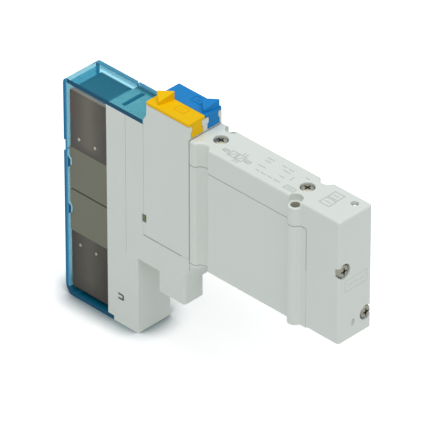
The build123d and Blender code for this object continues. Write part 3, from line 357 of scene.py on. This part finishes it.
palette = {
    "coverResin": dict(resin, roughness=0.46, wells=holeShade,
                       seams=[lidSeam, endSeam, endSeamLow, flangeSeam, *plateEngravingShade]),
    "carrierResin": dict(resin, roughness=0.46, seams=latchSlitShade),
    "bodyPaint": dict(resin, roughness=0.42, grain=0.7, wells=holeShade,
                      seams=[lidSeam, endSeam, endSeamLow, baseSeam, flangeSeam]),
    "housingResin": dict(resin, roughness=0.46, seams=[shelfSeam, baseSeam]),
    "blockResin": dict(resin, roughness=0.46, seams=[shelfSeam, blockSeam]),
    # Lid marks: the lid's resin painted darker, as shade on the raised lines.
    "markResin": dict(colour=(0.520, 0.560, 0.530), shade=(0.490, 0.530, 0.505), roughness=0.5),
    "latchResin": dict(colour=(0.215, 0.240, 0.140), shade=(0.150, 0.170, 0.085), roughness=0.5,
                       specular=0.2),
    "yellowResin": dict(colour=(0.92, 0.56, 0.002), shade=(0.90, 0.53, 0.002), roughness=0.42, grain=0.6,
                        specular=0.08),
    "blueResin": dict(colour=(0.012, 0.235, 0.60), shade=(0.009, 0.215, 0.57), roughness=0.42, grain=0.6,
                      specular=0.12),
    "pilotResin": dict(colour=(0.196, 0.198, 0.150), shade=(0.182, 0.185, 0.140), roughness=0.55,
                       specular=0.25),
    "blackResin": dict(colour=(0.020, 0.020, 0.021), shade=(0.028, 0.028, 0.028), roughness=0.42),
    "boardGreen": dict(colour=(0.015, 0.12, 0.05), shade=(0.02, 0.14, 0.06), roughness=0.35),
    "lampAmber": dict(colour=(0.80, 0.50, 0.12), shade=(0.75, 0.45, 0.10), roughness=0.2),
    "smokedLens": dict(colour=(0.012, 0.030, 0.024), shade=(0.016, 0.036, 0.030), roughness=0.25),
}
plastics = {key: mouldedPlastic(key, **values) for key, values in palette.items()}
metals = {
    "canSteelA": drawnCan("canSteelA", canLook, **upperCan),
    "canSteelB": drawnCan("canSteelB", canLook, **lowerCan),
    "screwSteel": drawnMetal("screwSteel", (0.44, 0.435, 0.37), (0.20, 0.20, 0.165), 0.3, (1, 1, 1), 1800),
    "ballSteel": drawnMetal("ballSteel", (0.80, 0.81, 0.81), (0.62, 0.63, 0.63), 0.12, (1, 1, 1), 1800),
    "pinSteel": drawnMetal("pinSteel", (0.60, 0.60, 0.58), (0.50, 0.50, 0.49), 0.25),
    "spoolAlloy": drawnMetal("spoolAlloy", (0.72, 0.72, 0.73), (0.62, 0.62, 0.63), 0.3, (0.03, 1, 1)),
    "coreIron": drawnMetal("coreIron", (0.50, 0.50, 0.50), (0.40, 0.40, 0.40), 0.32),
    "copperWire": drawnMetal("copperWire", (0.60, 0.22, 0.07), (0.42, 0.14, 0.04), 0.3,
                             (0.02, 0.02, 1), 3200),
    "contactBrass": drawnMetal("contactBrass", (0.78, 0.58, 0.24), (0.66, 0.47, 0.18), 0.28),
}
sealRubber = rubber("sealRubber", (0.02, 0.02, 0.021))
clearBlue = clearBlueCover(coverLook)
print("stage 2: finishes made")

finishOf = {
    "valve_body": plastics["bodyPaint"], "end_cover": plastics["coverResin"],
    "override_block": plastics["blockResin"], "plug_housing": plastics["housingResin"],
    "pilot_carrier": plastics["carrierResin"], "pilot_cover": clearBlue,
    "light_guide": plastics["smokedLens"], "circuit_board": plastics["boardGreen"],
    "indicator_lamps": plastics["lampAmber"],
    "connector_insert": plastics["blackResin"], "contact_pins": metals["contactBrass"],
    "override_slider_a": plastics["yellowResin"], "override_slider_b": plastics["blueResin"],
    "override_pin_a": metals["pinSteel"], "override_pin_b": metals["pinSteel"],
    "pin_spring_a": metals["pinSteel"], "pin_spring_b": metals["pinSteel"],
    "spool": metals["spoolAlloy"], "piston_a": plastics["blackResin"], "piston_b": plastics["blackResin"],
    "sealing_ball": metals["ballSteel"], "top_screws": metals["screwSteel"],
    "end_screws": metals["screwSteel"], "tie_screws": metals["screwSteel"],
}
pilotFinishes = {"body": plastics["pilotResin"], "bobbin": plastics["blackResin"],
                 "winding": metals["copperWire"], "armature": metals["coreIron"],
                 "poppet": sealRubber, "spring": metals["pinSteel"], "terminals": metals["contactBrass"]}
for pilot in "ab":
    for part, material in pilotFinishes.items():
        finishOf[f"pilot_{pilot}_{part}"] = material
    for part in ("can", "core"):
        finishOf[f"pilot_{pilot}_{part}"] = metals["canSteel" + pilot.upper()]
for name, node in nodes.items():
    node.data.materials.clear()
    node.data.materials.append(finishOf.get(name, sealRubber))
print("stage 3: finishes on the CAD nodes")


def deselect():
    for o in bpy.context.selected_objects:
        o.select_set(False)


# Selects edges of the active piece by their ends in millimetres, and stays in edit mode.
def choose(piece, test):
    bpy.ops.object.mode_set(mode="EDIT")
    bpy.ops.mesh.select_mode(type="EDGE")
    bpy.ops.mesh.select_all(action="DESELECT")
    bpy.ops.object.mode_set(mode="OBJECT")
    points = [v.co / mm for v in piece.data.vertices]
    for edge in piece.data.edges:
        edge.select = test(points[edge.vertices[0]], points[edge.vertices[1]])
    bpy.ops.object.mode_set(mode="EDIT")


def near(value, level):
    return abs(value - level) < 0.01


def addBlock(name, low, high, turn=0.0):
    deselect()
    bpy.ops.mesh.primitive_cube_add(size=mm, location=[(a + b) / 2 * mm for a, b in zip(low, high)],
                                    rotation=(0, 0, turn))
    piece = bpy.context.object
    piece.name = name
    piece.scale = [b - a for a, b in zip(low, high)]
    bpy.ops.object.transform_apply(location=True, rotation=True, scale=True)
    return piece


smoothAngle = 40


# Material, smooth shading that keeps flat faces flat, slot and body of a fitting.
def complete(piece, material):
    bpy.ops.object.mode_set(mode="OBJECT")
    piece.data.materials.clear()
    piece.data.materials.append(material)
    bpy.ops.object.shade_smooth_by_angle(angle=math.radians(smoothAngle))
    level = piece.modifiers.new("level", "WEIGHTED_NORMAL")
    level.weight, level.keep_sharp = 100, True
    bpy.ops.object.modifier_apply(modifier="level")
    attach(piece, "module")


# A spring: a copy of the CAD form at rest in the CAD node's place; its length from the fixed end and its
# joint's travel are read from the record, but the copy is not shortened.
def makeSpring(joint, entry):
    node = entry["node"]
    low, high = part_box(node)
    fixedEnd = entry["fixed_end_z_m"]
    length = max(abs(low.z - fixedEnd), abs(high.z - fixedEnd))
    travel = max(abs(limit) for limit in joint["range_m"])
    first, *rest = node.split("_")
    name = first + "".join(word.capitalize() for word in rest)
    spring = bpy.data.objects.new(name, nodes[node].data.copy())
    bpy.context.collection.objects.link(spring)
    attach(spring, body_of(nodes[node])[0])
    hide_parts(node)
    1 - travel / length
    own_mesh(spring)


for joint in frame["record"]["behaviour"]["joints"]:
    for entry in joint.get("deforming_nodes") or []:
        makeSpring(joint, entry)
print("stage 4: springs")

lidMarks = {"top": lidTop, "rise": 0.05, "sunk": 0.03, "line": 0.25, "soften": 0.02,
            "frames": [(-8.4, -3.3, -6.2, -1.1), (-6.2, -3.3, -4.0, -1.1), (-10.4, -2.75, -8.6, -1.65),
                       (-3.8, -2.75, -2.0, -1.65), (9.4, -3.9, 12.5, -2.4), (18.85, -2.4, 22.05, 0.3),
                       (18.8, 0.55, 21.9, 3.1)],
            "bars": [(-5.7, -4.4, -5.7, -3.4), (-5.1, -4.4, -5.1, -3.4), (-4.5, -4.4, -4.5, -3.4),
                     (-5.5, -1.0, -5.5, 0.0), (-4.7, -1.0, -4.7, 0.0), (-8.1, -3.0, -6.7, -1.5),
                     (-5.7, -3.0, -4.4, -1.5), (-10.1, -2.6, -9.1, -1.8), (-3.4, -2.6, -2.4, -1.8),
                     (-0.7, -1.2, 1.7, -1.2), (-0.85, 2.2, 1.2, 2.2), (-0.7, 1.1, 1.1, 1.1),
                     (3.6, 2.2, 4.9, 2.2), (5.5, 2.2, 7.1, 2.2), (4.8, 1.05, 7.15, 1.05),
                     (5.7, -1.05, 7.4, -1.05),
                     (8.65, -0.85, 8.65, 0.7), (10.5, 2.35, 11.7, 2.35),
                     (0.3, -3.0, 1.5, -3.0), (2.0, -3.0, 3.4, -3.0), (3.9, -3.0, 5.2, -3.0),
                     (5.8, -3.0, 7.8, -3.0),
                     (10.0, -3.15, 11.9, -3.15), (19.6, -1.05, 21.3, -1.05), (19.5, 1.8, 21.2, 1.8)]}


# One raised outline: a flat sheet, inset to its line width, its middle removed, then extruded up.
def addFrame(corner, marks):
    deselect()
    x0, y0, x1, y1 = corner
    bpy.ops.mesh.primitive_plane_add(size=mm, location=((x0 + x1) / 2 * mm, (y0 + y1) / 2 * mm,
                                                        (marks["top"] - marks["sunk"]) * mm))
    outline = bpy.context.object
    outline.scale = (x1 - x0, y1 - y0, 1)
    bpy.ops.object.transform_apply(location=True, rotation=True, scale=True)
    bpy.ops.object.mode_set(mode="EDIT")
    bpy.ops.mesh.select_all(action="SELECT")
    bpy.ops.mesh.inset(thickness=marks["line"] * mm)
    bpy.ops.mesh.delete(type="ONLY_FACE")
    bpy.ops.mesh.select_all(action="SELECT")
    height = (marks["rise"] + marks["sunk"]) * mm
    bpy.ops.mesh.extrude_region_move(TRANSFORM_OT_translate={"value": (0, 0, height)})
    bpy.ops.mesh.select_all(action="SELECT")
    bpy.ops.mesh.normals_make_consistent(inside=False)
    bpy.ops.object.mode_set(mode="OBJECT")
    return outline


def makeLidMarks(marks):
    made = [addFrame(corner, marks) for corner in marks["frames"]]
    half = marks["line"] / 2
    for x0, y0, x1, y1 in marks["bars"]:
        long, turn = math.hypot(x1 - x0, y1 - y0) / 2, math.atan2(y1 - y0, x1 - x0)
        middle = ((x0 + x1) / 2, (y0 + y1) / 2)
        made.append(addBlock("markBar", (middle[0] - long, middle[1] - half, marks["top"] - marks["sunk"]),
                             (middle[0] + long, middle[1] + half, marks["top"] + marks["rise"]), turn))
    deselect()
    for piece in made:
        piece.select_set(True)
    bpy.context.view_layer.objects.active = made[0]
    bpy.ops.object.join()
    joined = bpy.context.object
    joined.name = "lidMarks"
    top = marks["top"] + marks["rise"]
    choose(joined, lambda a, b: near(a.z, top) and near(b.z, top))
    bpy.ops.mesh.bevel(offset=marks["soften"] * mm, segments=2, affect="EDGES")
    complete(joined, plastics["markResin"])


makeLidMarks(lidMarks)

latch = {"low": (-33.0, -5.12, 4.2), "high": (-31.8, -4.4, 6.2), "slope": 0.55, "soften": 0.08}


# Latch tongue behind its window: a small wedge, chamfered on the side away from the housing.
def makeLatch(shape):
    tongue = addBlock("latchTongue", shape["low"], shape["high"])
    east, front = shape["high"][0], shape["low"][1]
    choose(tongue, lambda a, b: near(a.x, east) and near(b.x, east) and near(a.y, front) and near(b.y, front))
    bpy.ops.mesh.bevel(offset=shape["slope"] * mm, segments=1, affect="EDGES")
    bpy.ops.mesh.select_all(action="SELECT")
    bpy.ops.mesh.bevel(offset=shape["soften"] * mm, segments=2, affect="EDGES")
    complete(tongue, plastics["latchResin"])


makeLatch(latch)
print("stage 5: marks and latch")

floorLook = {"size": 3.0, "colour": (0.82, 0.82, 0.81), "seenColour": (1.35, 1.35, 1.35),
             "contact": (0.20, 0.265, 0.285), "reach": 0.0072}


# The camera sees the floor much lighter than it bounces light, so the wide faint shadow ends in white;
# near the object the floor gets a painted contact shadow, darkened by how closed in it is.
def makeFloor():
    deselect()
    low = cadBox[0]
    bpy.ops.mesh.primitive_plane_add(size=floorLook["size"], location=(0, 0, low[2]))
    floor = bpy.context.object
    floor.name = "studioFloor"
    f = Finish("studioFloor")
    path = f.tree.nodes.new("ShaderNodeLightPath")
    seen = Value(f, path.outputs["Is Camera Ray"])
    glossy = Value(f, path.outputs["Is Glossy Ray"])
    mirrored = (glossy + Value(f, path.outputs["Is Transmission Ray"])).clamped()
    # Painted contact shadow from how closed in the floor is.
    openness = f.node("ShaderNodeAmbientOcclusion", {"samples": 16}, {"Distance": floorLook["reach"]}, "AO")
    clear = ((openness - 0.5) * 2.2).clamped()
    tone = f.blend(mirrored, floorLook["colour"], (1, 1, 1))
    tone = f.blend(seen, tone, f.blend(clear, floorLook["contact"], floorLook["seenColour"]))
    floor.data.materials.append(f.done(f.node("ShaderNodeBsdfDiffuse", {}, {"Color": tone})))


skyLook = {"light": 0.33, "tint": (0.95, 0.98, 1.0)}


def makeSky():
    sky = bpy.data.worlds.new("studioSky")
    bpy.context.scene.world = sky
    sky.use_nodes = True
    tree = sky.node_tree
    tree.nodes.clear()
    path = tree.nodes.new("ShaderNodeLightPath")
    seen = tree.nodes.new("ShaderNodeMath")
    seen.operation, seen.use_clamp = "ADD", True
    through = tree.nodes.new("ShaderNodeMath")
    through.operation = "ADD"
    tree.links.new(path.outputs["Is Glossy Ray"], through.inputs[0])
    tree.links.new(path.outputs["Is Transmission Ray"], through.inputs[1])
    tree.links.new(path.outputs["Is Camera Ray"], seen.inputs[0])
    tree.links.new(through.outputs[0], seen.inputs[1])
    light = tree.nodes.new("ShaderNodeBackground")
    light.inputs["Color"].default_value = (*skyLook["tint"], 1)
    light.inputs["Strength"].default_value = skyLook["light"]
    white = tree.nodes.new("ShaderNodeBackground")
    white.inputs["Color"].default_value = (1, 1, 1, 1)
    mix = tree.nodes.new("ShaderNodeMixShader")
    output = tree.nodes.new("ShaderNodeOutputWorld")
    tree.links.new(seen.outputs[0], mix.inputs[0])
    tree.links.new(light.outputs[0], mix.inputs[1])
    tree.links.new(white.outputs[0], mix.inputs[2])
    tree.links.new(mix.outputs[0], output.inputs["Surface"])


makeSky()
makeFloor()

sunSet = {"strength": 1.98, "angle": 88, "tilt": (10, 8)}
fillSet = {"strength": 0.20, "angle": 40, "tilt": (10, 76)}


def makeSun(name, look):
    light = bpy.data.lights.new(name, "SUN")
    light.energy, light.angle = look["strength"], math.radians(look["angle"])
    lamp = bpy.data.objects.new(name, light)
    bpy.context.scene.collection.objects.link(lamp)
    lamp.rotation_euler = (math.radians(look["tilt"][0]), math.radians(look["tilt"][1]), 0)


makeSun("softSun", sunSet)
makeSun("lowFill", fillSet)

cameraSet = {"azimuth": 44.49, "elevation": 34.50, "aim": (-18.8, 0, 7.3), "side": 2.80, "rise": 2.0745,
             "distance": 1500.0, "lens": 557.0, "sensor": 36, "clip": (0.01, 20)}


def makeCamera():
    a, e = math.radians(cameraSet["azimuth"]), math.radians(cameraSet["elevation"])
    back = Vector((math.sin(a) * math.cos(e), -math.cos(a) * math.cos(e), math.sin(e)))
    right = Vector((math.cos(a), math.sin(a), 0))
    up = back.cross(right)
    target = Vector(cameraSet["aim"]) + right * cameraSet["side"] + up * cameraSet["rise"]
    data = bpy.data.cameras.new("mainCamera")
    data.lens, data.sensor_width = cameraSet["lens"], cameraSet["sensor"]
    data.clip_start, data.clip_end = cameraSet["clip"]
    camera = bpy.data.objects.new("mainCamera", data)
    bpy.context.scene.collection.objects.link(camera)
    turn = Matrix((right, up, back)).transposed().to_4x4()
    camera.matrix_world = Matrix.Translation((target + back * cameraSet["distance"]) * mm) @ turn
    bpy.context.scene.camera = camera


makeCamera()
bpy.context.scene.view_settings.view_transform = "Standard"
print("stage 6: studio ready")
